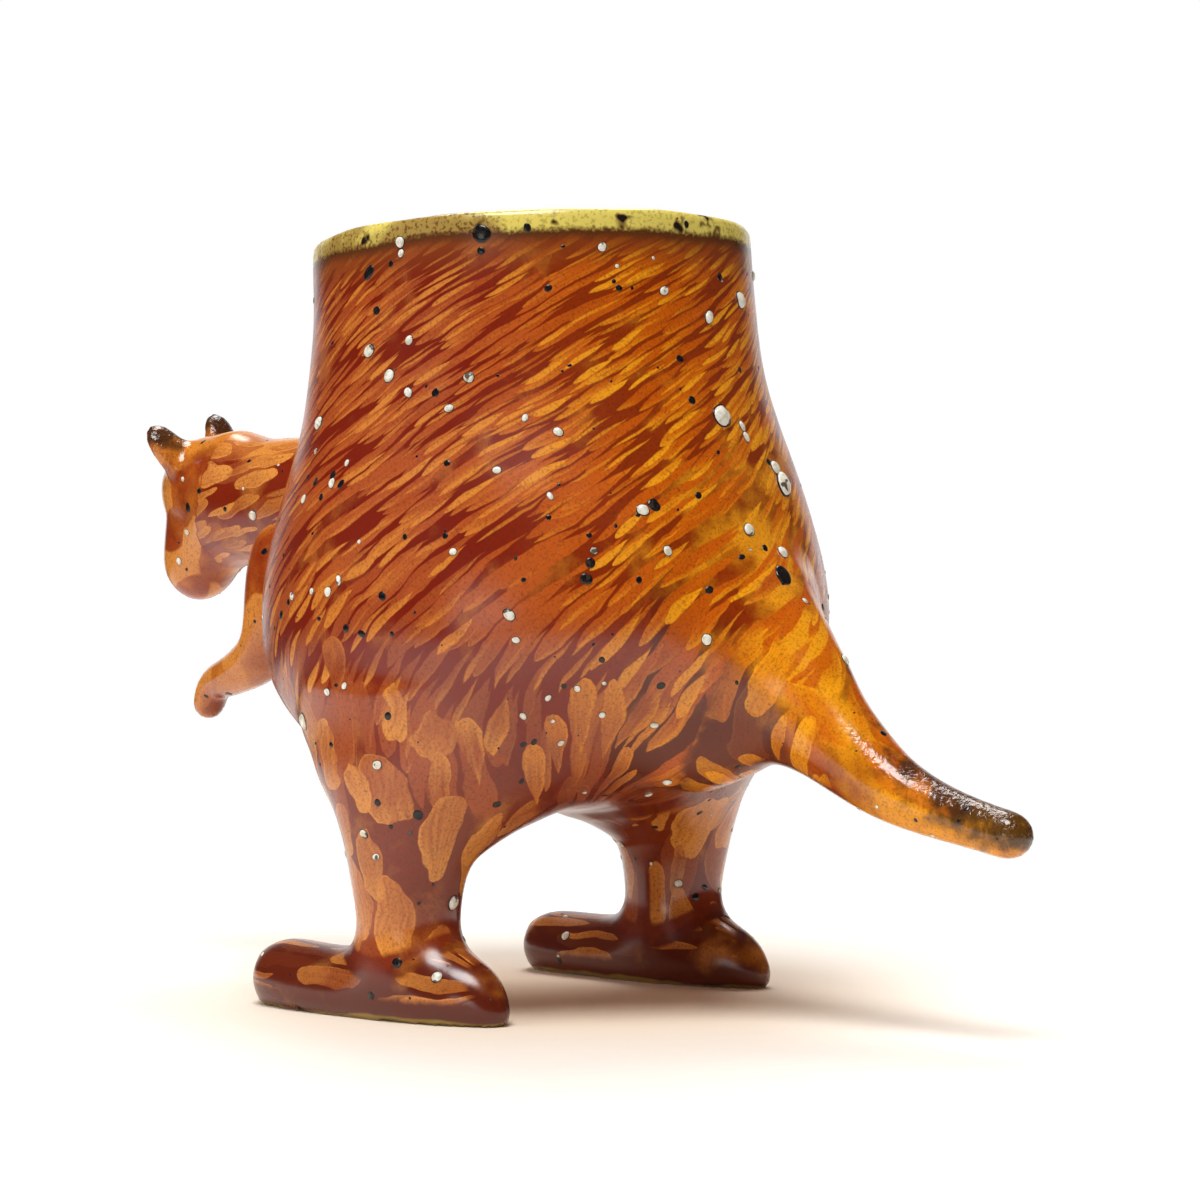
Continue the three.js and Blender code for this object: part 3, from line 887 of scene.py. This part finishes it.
# What shows of each
CLUSTERS = Fade(0.3, 0.7)
LOWER_BODY = Fade(45.0, 66.0)  # millimetres below the rim
THIN_WASH = Fade(0.2, 0.6)
POOLS_AND_LIGHT = Fade(0.55, 0.95, 0.9)
PATCHES = Fade(0.49, 0.52, 0.85)
PATCHED = Fade(0.4, 0.6)  # share of thin wash
BRUSHED = Fade(0.25, 0.75)  # share of the strokes
DEEP_FEET = Fade(0.5, 0.9)  # share of deep brown
SPECKS = Fade(0.68, 0.76, 0.35)
GRAINS = Fade(0.45, 0.75, 0.45)
UNDER_RIM_BAND = Fade(9.5, 3.5, 0.85)  # millimetres below the rim
LIP = Fade(-1.0, 0.0)
RIM_BORDER = Fade(4.8, 3.2, 0.95)
RIM_BAND = Fade(3.3, 2.3)
RIM_GRAINS = Fade(0.5, 0.66)
TOASTED = Fade(0.34, 0.62)
RIM_HALOS = Fade(0.63, 0.69, 0.8)
RIM_SPOTS = Fade(0.68, 0.71)
LINER_GRAINS = Fade(0.55, 0.75, 0.6)
SOLE_BAND = Fade(1.0 * MM, 0.6 * MM, 0.8)  # height
SOLE_BARE = Fade(0.3 * MM, 0.15 * MM)
SCORCHED = Fade(0.3, 0.95, 0.88)
PITS = Fade(0.35, 0.6, 1.6)

# How strong each is
WARM_MOTTLE = 0.6
DEEP_COVER = 0.75
AMBER_POOLS_AND_LIGHT = 0.6
BEND_REACH = (6, 5)  # millimetres along and across the strokes
FRAY_REACH = (0.7, 0.4)
RIPPLE_REACH = {"flow_body": 1.3, "flow_belly": 1.3, "flow_limb": 4}
BORDER_FRAY = 0.3  # of the fields of strokes
HAIRS = (0.12, 2.2)  # streaks in a stroke, for each millimetre along and across
HAIR_SHIFT = 40  # of one stroke's streaks against another's
TIP_LOAD = 0.45
POOL_LOAD = 0.45
TINT_LOAD = 0.6
HAIR_LOAD = 0.9
CLUSTER_LOAD = 0.7
CLUSTER_MEAN = 0.55
TINT_COVER = 0.3
RIM_SWAY = 1.5  # of the lines below the rim, in millimetres
BORDER_SWAY = 0.8
BAND_SWAY = 1.2
TOAST_WARM = 0.35
TOAST_BELOW = 0.06
TOAST_COVER = 0.7
TOAST_GRAIN = (0.35, 0.6)  # cover of the rim's grain: the least, and how much more when toasted
SPOT_WARM = 0.03
LINER_MOTTLE = 0.5
SOLE_SWAY = 3 * MM
SOLE_MEAN = 0.4
SCORCH_SWAY = 1.5
GLOSS = (0.14, 0.2)  # roughness: the least, and how much more
POLISH = 0.4  # share of it that pooled glaze loses
RELIEF = 0.4
RELIEF_POLISH = 0.25
BUMP_STRENGTH = 0.6
BUMP_DISTANCE = 0.06 * MM
GLAZE_IOR = 1.56  # of a glassy, metal-rich glaze


def glaze(name, strokes):
    """Glossy speckled glaze over brushed fur, the same tree for each slot."""
    material, graph, shader = new_material(name)
    mix, fade = graph.mix, graph.fade
    place = graph.add("TexCoord", output="Object")

    def noise(spread, output=0):
        return graph.noise(place, *spread, output=output)

    bend = noise(BEND_NOISE, 1).parts()
    ripple = noise(RIPPLE_NOISE, 1).parts()
    fray = noise(FRAY_NOISE, 1).parts()
    share = dict(zip(SHOWN, graph.attribute("shares").parts()))
    warm, dark, inside = graph.attribute("tone").parts()
    mottle = noise(MOTTLE_NOISE)
    grain = noise(GRAIN_NOISE)
    cluster = fade(noise(CLUSTER_NOISE), CLUSTERS)

    colour = mix((warm + mottle.swing(WARM_MOTTLE)).clamped(), BASE, BASE_WARM)
    amber_and_lit_top, deep, thin = graph.attribute("pools_and_lit_top").parts()
    below = graph.attribute("below_rim", "Fac")
    lower = fade(below, LOWER_BODY) * thin.less_from(1.0)
    wash = mix(warm, mix(lower, WASH, WASH_LOW), WASH_WARM)
    laden = mix(warm, LADEN, LADEN_WARM)
    laden = mix((share["limb"] - warm).clamped(), laden, LADEN_LIMB)
    colour = mix(deep * DEEP_COVER, colour, DEEP)
    colour = mix(thin * fade(noise(WASH_NOISE), THIN_WASH), colour, wash)
    # amber where glaze pools, and painted light on the upper sides of the neck and head
    pooled_and_lit = noise(POOL_NOISE) + amber_and_lit_top * AMBER_POOLS_AND_LIGHT
    colour = mix(fade(pooled_and_lit, POOLS_AND_LIGHT), colour, laden)
    patches = fade(noise(PATCH_NOISE), PATCHES) * fade(thin, PATCHED)
    colour = mix(patches * deep.less_from(1.0), colour, LADEN_LIMB)

    flow = {}
    hairs = {}
    for key in FLOWS:
        *course, slant = graph.attribute(key).parts()
        for axis in (0, 1):
            course[axis] += bend[axis].swing(BEND_REACH[axis])
            course[axis] += fray[axis].swing(FRAY_REACH[axis])
            course[axis] += ripple[axis].swing(RIPPLE_REACH[key])
        flow[key] = (*course, slant, (slant * slant).less_from(1.0).calc("SQRT"))
        hairs[key] = [way * rate for way, rate in zip(course, HAIRS)]
    shown = {key: fade(share[key] + fray[2].swing(BORDER_FRAY), BRUSHED) for key in SHOWN}
    footed = fade(deep, DEEP_FEET)
    for number, layer in enumerate(LAYERS):
        node = graph.tree.nodes.new("ShaderNodeGroup")
        node.node_tree = strokes
        sizes = (
            layer.length, layer.width, number + 1, layer.amount, layer.blunt, layer.point, layer.low,
            layer.high, layer.reach)
        for socket, value in zip(node.inputs, (*flow[layer.flow], *map(float, sizes))):
            plug(socket, value)
        mask, tip, tint, pool = (Wire(socket) for socket in node.outputs)
        streaks = graph.noise(graph.vector(*hairs[layer.flow], tint * HAIR_SHIFT), 1.0, 1.0)
        richness = tip * TIP_LOAD + pool * POOL_LOAD + tint.swing(TINT_LOAD) + streaks.swing(HAIR_LOAD)
        richness = richness + layer.load
        if layer.shown != "limb":
            richness = richness + (cluster - CLUSTER_MEAN) * CLUSTER_LOAD
        stroke = mix(richness.clamped(), wash, laden)
        cover = mask * (tint * TINT_COVER + layer.cover) * shown[layer.shown]
        if layer.shown == "limb":
            cover = cover * (footed * (layer.on_feet - 1) + 1)
        colour = mix(cover.clamped(), colour, stroke)

    colour = mix(fade(noise(SPECK_NOISE), SPECKS), colour, SCORCH)
    colour = mix(fade(grain, GRAINS), colour, GRAIN)

    below = below + noise(RIM_NOISE).swing(RIM_SWAY)
    rim_grain = noise(RIM_GRAIN_NOISE)
    colour = mix(fade(below, UNDER_RIM_BAND) * fade(below, LIP), colour, UNDER_RIM)
    toasted = noise(TOAST_NOISE) - warm * TOAST_WARM + below * TOAST_BELOW
    toasted = fade(toasted, TOASTED)
    grained = fade(rim_grain, RIM_GRAINS) * toasted.within(*TOAST_GRAIN)
    rim_colour = mix(grained, RIM, RIM_EDGE)
    rim_colour = mix(toasted * TOAST_COVER, rim_colour, TOAST)
    rim_spots = noise(RIM_SPOT_NOISE) + warm * SPOT_WARM
    rim_colour = mix(fade(rim_spots, RIM_HALOS), rim_colour, RIM_EDGE)
    rim_colour = mix(fade(rim_spots, RIM_SPOTS), rim_colour, SCORCH)
    colour = mix(fade(below + rim_grain.swing(BORDER_SWAY), RIM_BORDER), colour, RIM_EDGE)
    colour = mix(fade(below + rim_grain.swing(BAND_SWAY), RIM_BAND), colour, rim_colour)
    liner = mix(fade(rim_grain + mottle.swing(LINER_MOTTLE), LINER_GRAINS), LINER, RIM_EDGE)
    colour = mix(inside, colour, liner)

    height = place.parts()[2]
    sole_band = fade(height + (mottle - SOLE_MEAN) * SOLE_SWAY, SOLE_BAND)
    colour = mix(sole_band, colour, SOLE_LINE)
    colour = mix(fade(height, SOLE_BARE), colour, BARE_CLAY)
    scorched = fade(dark + noise(SCORCH_NOISE).swing(SCORCH_SWAY), SCORCHED)
    colour = mix(scorched, colour, SCORCH)

    plug(shader.inputs["Base Color"], colour)
    shader.inputs["IOR"].default_value = GLAZE_IOR
    polish = (amber_and_lit_top + dark + thin).clamped()
    rough = noise(GLOSS_NOISE).within(*GLOSS)
    plug(shader.inputs["Roughness"], rough * (polish * -POLISH + 1))
    relief = noise(RELIEF_NOISE) * (polish * -RELIEF_POLISH + RELIEF)
    relief = relief + fade(noise(PIT_NOISE), PITS) * dark
    normal = graph.add("Bump", {"Height": relief, "Strength": BUMP_STRENGTH, "Distance": BUMP_DISTANCE})
    plug(shader.inputs["Normal"], normal)
    return material


# Specks that the photograph shows: column, row, length in millimetres
SEEN_BEADS = (
    (722, 416, 3.0), (742, 426, 1.5), (746, 437, 1.6), (709, 317, 2.0), (740, 300, 2.4), (664, 291, 1.5),
    (400, 242, 1.5), (369, 351, 1.7), (389, 376, 1.7), (409, 340, 1.4), (469, 377, 1.4), (449, 408, 1.3),
    (525, 418, 1.1), (558, 432, 1.3), (602, 247, 1.3), (332, 483, 1.4), (509, 615, 1.7), (643, 510, 1.7),
    (668, 551, 1.4), (749, 530, 1.9), (782, 552, 1.8), (775, 468, 2.2), (783, 484, 3.6), (497, 470, 1.1),
    (550, 496, 1.1), (453, 552, 1.1), (594, 551, 1.0), (523, 716, 1.2), (453, 903, 1.9), (304, 722, 2.4),
    (253, 516, 1.6), (183, 479, 0.9), (187, 532, 1.0), (179, 561, 1.1), (319, 423, 1.9), (304, 499, 1.3),
    (292, 596, 1.1), (328, 592, 1.3), (327, 692, 1.2), (347, 463, 1.0), (845, 660, 1.6), (805, 601, 1.0),
    (377, 765, 1.3), (364, 834, 1.4), (376, 857, 1.0), (437, 977, 1.4), (561, 743, 1.2), (548, 698, 1.0),
)
SEEN_SPOTS = (
    (783, 575, 3.2), (369, 273, 2.3), (391, 264, 0.9), (481, 251, 1.1), (548, 288, 1.2), (619, 288, 1.0),
    (654, 505, 1.8), (590, 563, 1.4), (586, 579, 1.6), (680, 359, 1.3), (341, 484, 1.3), (534, 742, 1.1),
    (602, 660, 0.9), (661, 686, 1.2), (382, 596, 1.3), (709, 590, 1.2), (188, 508, 1.6), (199, 491, 0.9),
    (249, 461, 0.8), (225, 509, 0.8), (333, 475, 1.3), (321, 497, 1.0), (281, 615, 1.3), (319, 619, 0.8),
    (206, 696, 0.8), (388, 716, 1.1), (418, 815, 1.3), (397, 963, 1.4), (371, 996, 1.1), (447, 463, 1.0),
    (405, 537, 0.9), (692, 400, 1.3), (720, 277, 1.2), (765, 548, 1.3), (742, 557, 1.1), (482, 234, 2.6),
)
LOOSE_BEADS = 90
LOOSE_SPOTS = 330
LOOSE_SEED = 11
BEAD_LENGTHS = (0.5, 1.0, 1.5)  # of loose beads in millimetres: the least, how much more, and how rarely
SPOT_LENGTHS = (0.3, 1.0, 2)
BEAD_RISE = 0.5  # thickness of a bead, to its length
SPOT_RISE = 0.22
RING_RISE = 0.12
RING_SPREAD = 1.14  # a bead's dark ring, to the bead
BEAD_SEED = 21
SPOT_SEED = 22
BALL_DETAIL = 3
NARROWEST = 0.68  # width to length
LUMPS = 0.05  # unevenness of a bead
LUMP_RATE = 3
LUMP_PHASE = 6
SOLE_CLEAR = 1.5 * MM  # height above which loose beads and spots are set
RIM_CLEAR = 0.5  # millimetres below the rim from which they are set
BEAD_COLOURS = (paint(242, 240, 230), paint(208, 200, 174), paint(96, 84, 70))  # two close ones, and its pits
SPOT_COLOURS = (paint(18, 18, 20), paint(40, 34, 30), paint(60, 48, 40))
BEAD_NOISE = (0.7 * MM, 2.0)
SPOT_NOISE = (0.5 * MM, 2.0)
BEAD_ROUGHNESS = 0.12
SPOT_ROUGHNESS = 0.1
MORE_ROUGHNESS = 0.15
GRAIN_CLOUDS = Fade(0.4, 0.7)
GRAIN_PIT_NOISE = (1.2 * MM, 1.0)
GRAIN_PITS = Fade(0.6, 0.66)


def photo_ray(column, row):
    """Start and direction of the sight line through a pixel of the photograph."""
    back = Vector((math.cos(CAMERA_TURN), math.sin(CAMERA_TURN), 0))
    right = Vector((-math.sin(CAMERA_TURN), math.cos(CAMERA_TURN), 0))
    way = right * (column - PHOTO_AXIS_X) + Vector((0, 0, PHOTO_HORIZON - row)) - back * PHOTO_FOCUS
    return camera_place(), way.normalized()


def camera_place():
    back = Vector((math.cos(CAMERA_TURN), math.sin(CAMERA_TURN), 0))
    axis = Vector((0, (cup_low.y + cup_high.y) / 2, 0))
    return axis + back * CAMERA_DISTANCE + Vector((0, 0, CAMERA_HEIGHT))


def loose_places(count, draw):
    """Points spread over the outside of the skin, clear of the soles."""
    corners = points[quads]
    area = np.linalg.norm(np.cross(corners[:, 2] - corners[:, 0], corners[:, 3] - corners[:, 1]), axis=1)
    clear = (corners[:, :, 2].min(1) > SOLE_CLEAR) & (below_rim[quads[:, 0]] > RIM_CLEAR)
    outer = ~inward[quads[:, 0]] & clear
    chosen = draw.choice(len(quads), count, replace=False, p=area * outer / (area * outer).sum())
    return corners[chosen].mean(1)


def lens_shapes(places, lengths, rise, seed, name, material):
    """One mesh of closed domes set in the skin, each a little uneven."""
    template = bmesh.new()
    bmesh.ops.create_icosphere(template, subdivisions=BALL_DETAIL, radius=0.5)
    ball = np.array([v.co for v in template.verts])
    faces = np.array([[v.index for v in f.verts] for f in template.faces])
    template.free()
    draw = np.random.default_rng(seed)
    up = skin.slope(places)
    side = np.cross(up, draw.normal(size=up.shape))
    side /= np.linalg.norm(side, axis=1, keepdims=True)
    other = np.cross(up, side)
    all_points = []
    all_faces = []
    for place, length, x, y, z in zip(places, lengths, side, other, up):
        waves = np.sin(ball @ draw.normal(size=(3, 3)) * LUMP_RATE + draw.uniform(0, LUMP_PHASE, 3))
        lumps = 1 + LUMPS * waves.sum(1)
        shape = ball * lumps[:, None] * np.array([length, length * draw.uniform(NARROWEST, 1), length * rise])
        all_faces.append(faces + len(all_points) * len(ball))
        all_points.append(place + shape @ np.stack([x, y, z]))
    mesh = bpy.data.meshes.new(name)
    mesh.from_pydata(np.concatenate(all_points).tolist(), [], np.concatenate(all_faces).tolist())
    mesh.polygons.foreach_set("use_smooth", [True] * len(mesh.polygons))
    mesh.materials.append(material)
    piece = placed(name, mesh)
    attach(piece, "root")


def glassy(name, colours, noise, roughness):
    """Small melted grains of two close colours, pitted here and there."""
    material, graph, shader = new_material(name)
    place = graph.add("TexCoord", output="Object")
    cloud = graph.noise(place, *noise)
    first, second, pit = colours
    colour = graph.mix(graph.fade(cloud, GRAIN_CLOUDS), first, second)
    pitted = graph.fade(graph.noise(place, *GRAIN_PIT_NOISE), GRAIN_PITS)
    plug(shader.inputs["Base Color"], graph.mix(pitted, colour, pit))
    plug(shader.inputs["Roughness"], cloud * MORE_ROUGHNESS + roughness)
    return material


def specks():
    """White feldspar beads and black iron spots, those seen in the photograph and loose ones all over."""
    tree = BVHTree.FromPolygons(points.tolist(), quads.tolist())
    draw = np.random.default_rng(LOOSE_SEED)

    def spread(seen, count, lengths):
        """Places and lengths of the seen ones and of loose ones."""
        hits = np.array([tree.ray_cast(*photo_ray(column, row))[0] for column, row, _ in seen])
        places = np.concatenate([hits, loose_places(count, draw)])
        least, more, rarity = lengths
        loose = least + more * draw.uniform(0, 1, count) ** rarity
        return places, np.concatenate([[length for *_, length in seen], loose]) * MM

    bead_places, bead_lengths = spread(SEEN_BEADS, LOOSE_BEADS, BEAD_LENGTHS)
    spot_places, spot_lengths = spread(SEEN_SPOTS, LOOSE_SPOTS, SPOT_LENGTHS)
    white = glassy("feldspar", BEAD_COLOURS, BEAD_NOISE, BEAD_ROUGHNESS)
    black = glassy("iron", SPOT_COLOURS, SPOT_NOISE, SPOT_ROUGHNESS)
    lens_shapes(bead_places, bead_lengths, BEAD_RISE, BEAD_SEED, "feldspar_beads", white)
    lens_shapes(spot_places, spot_lengths, SPOT_RISE, SPOT_SEED, "iron_spots", black)
    lens_shapes(bead_places, bead_lengths * RING_SPREAD, RING_RISE, BEAD_SEED, "bead_rings", black)


strokes = brush_strokes()
finishes = {slot: glaze(slot, strokes) for slot in ("fur_glaze", "light_fur_glaze")}
for index, node in enumerate(NODES):
    name = "glazed_" + node
    mesh = piece_mesh(name, quads[label == index])
    piece = placed(name, mesh)
    slot = "light_fur_glaze" if kind(node) in LIGHT else "fur_glaze"
    mesh.materials.append(finishes[slot])
    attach(piece, "root")
    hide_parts(node)


def photo_camera():
    data = bpy.data.cameras.new("photo_camera")
    data.sensor_width = SENSOR
    data.lens = SENSOR * PHOTO_FOCUS / PHOTO_SIDE
    data.shift_x = (PHOTO_SIDE / 2 - PHOTO_AXIS_X) / PHOTO_SIDE
    data.shift_y = (PHOTO_HORIZON - PHOTO_SIDE / 2) / PHOTO_SIDE
    camera = placed("photo_camera", data)
    back = Vector((math.cos(CAMERA_TURN), math.sin(CAMERA_TURN), 0))
    camera.location = camera_place()
    camera.rotation_euler = (-back).to_track_quat("-Z", "Y").to_euler()
    bpy.context.scene.camera = camera


def lamp(name, place, aim, size, watts, mirrored):
    data = bpy.data.lights.new(name, "AREA")
    data.shape = "DISK"
    data.size = size
    data.energy = watts
    light = placed(name, data)
    light.location = place
    light.rotation_euler = (Vector((0, 0, aim)) - Vector(place)).to_track_quat("-Z", "Y").to_euler()
    light.visible_glossy = mirrored


GROUND = paint(249, 244, 236)
GROUND_PALE = paint(252, 248, 242)
# painted warm bounce light for the floor's shade near the object
GROUND_PAINTED_BOUNCE = paint(248, 226, 196)
# painted shade of the far floor, seen only in the glaze's reflections and in bounced light
GROUND_PAINTED_SHADE = paint(80, 76, 72)
GROUND_NOISE = (3 * MM, 2.0)
GROUND_ROUGHNESS = 0.9


def white_floor():
    """Pale ground that keeps the shadow, with painted warm bounce light near the object and painted shade far
    out, and runs out to the white of the backdrop.
    """
    mesh = bpy.data.meshes.new("floor")
    half = FLOOR_SIDE / 2
    corners = [(-half, -half, 0), (half, -half, 0), (half, half, 0), (-half, half, 0)]
    mesh.from_pydata(corners, [], [(0, 1, 2, 3)])
    floor = placed("floor", mesh)
    material, graph, shader = new_material("floor")
    tree = graph.tree
    place = graph.add("TexCoord", output="Object")
    tooth = graph.noise(place, *GROUND_NOISE)
    away = graph.add("VectorMath", {0: place}, "Value", operation="LENGTH")
    ground = graph.mix(tooth, GROUND, GROUND_PALE)
    # painted warm bounce light off the glaze, near the object
    ground = graph.mix(graph.ease(away, PAINTED_BOUNCE_REACH, 0.0), ground, GROUND_PAINTED_BOUNCE)
    # painted shade: the floor's colour darkens far out, which dims its mirror image in the glaze
    ground = graph.mix(graph.ease(away, FLOOR_DIM, FLOOR_DARK), ground, GROUND_PAINTED_SHADE)
    plug(shader.inputs["Base Color"], ground)
    shader.inputs["Roughness"].default_value = GROUND_ROUGHNESS
    rays = tree.nodes.new("ShaderNodeLightPath")
    mirrored = Wire(rays.outputs["Is Glossy Ray"]) * graph.ease(away, FLOOR_DARK, FLOOR_NEAR)
    seen = Wire(rays.outputs["Is Camera Ray"]) + Wire(rays.outputs["Is Transmission Ray"])
    seen = (seen + mirrored).clamped()
    backdrop = tree.nodes.new("ShaderNodeEmission")
    blend = tree.nodes.new("ShaderNodeMixShader")
    plug(blend.inputs[0], graph.ease(away, FLOOR_NEAR, FLOOR_FAR) * seen)
    plug(blend.inputs[1], Wire(shader.outputs[0]))
    plug(blend.inputs[2], Wire(backdrop.outputs[0]))
    plug(tree.nodes["Material Output"].inputs["Surface"], Wire(blend.outputs[0]))
    mesh.materials.append(material)


def studio_world():
    """White backdrop behind the object as the camera sees it, dimmer light from the room."""
    world = bpy.data.worlds.new("studio")
    bpy.context.scene.world = world
    world.use_nodes = True
    graph = Graph(world.node_tree)
    shader = world.node_tree.nodes["Background"]
    rays = world.node_tree.nodes.new("ShaderNodeLightPath")
    seen = (Wire(rays.outputs["Is Camera Ray"]) + Wire(rays.outputs["Is Transmission Ray"])).clamped()
    away = (-math.cos(CAMERA_TURN), -math.sin(CAMERA_TURN), 0.0)
    facing = graph.add("TexCoord", output="Generated")
    toward = graph.add("VectorMath", {0: facing, 1: away}, "Value", operation="DOT_PRODUCT")
    backdrop = graph.ease(toward, *WORLD_SIDES)
    mirrored = graph.ease(toward, *WORLD_MIRRORED) * Wire(rays.outputs["Is Glossy Ray"])
    seen = seen.calc("MAXIMUM", mirrored)
    lit = backdrop * Wire(rays.outputs["Is Diffuse Ray"])
    strength = (lit * (BACKDROP_LIGHT - ROOM_LIGHT) + ROOM_LIGHT).calc("MAXIMUM", seen)
    plug(shader.inputs["Color"], graph.mix(seen, ROOM_TINT, (1, 1, 1, 1)))
    plug(shader.inputs["Strength"], strength)


specks()
photo_camera()
white_floor()
studio_world()
for name, settings in LAMPS.items():
    lamp(name, *settings)
bpy.context.scene.view_settings.view_transform = "Standard"
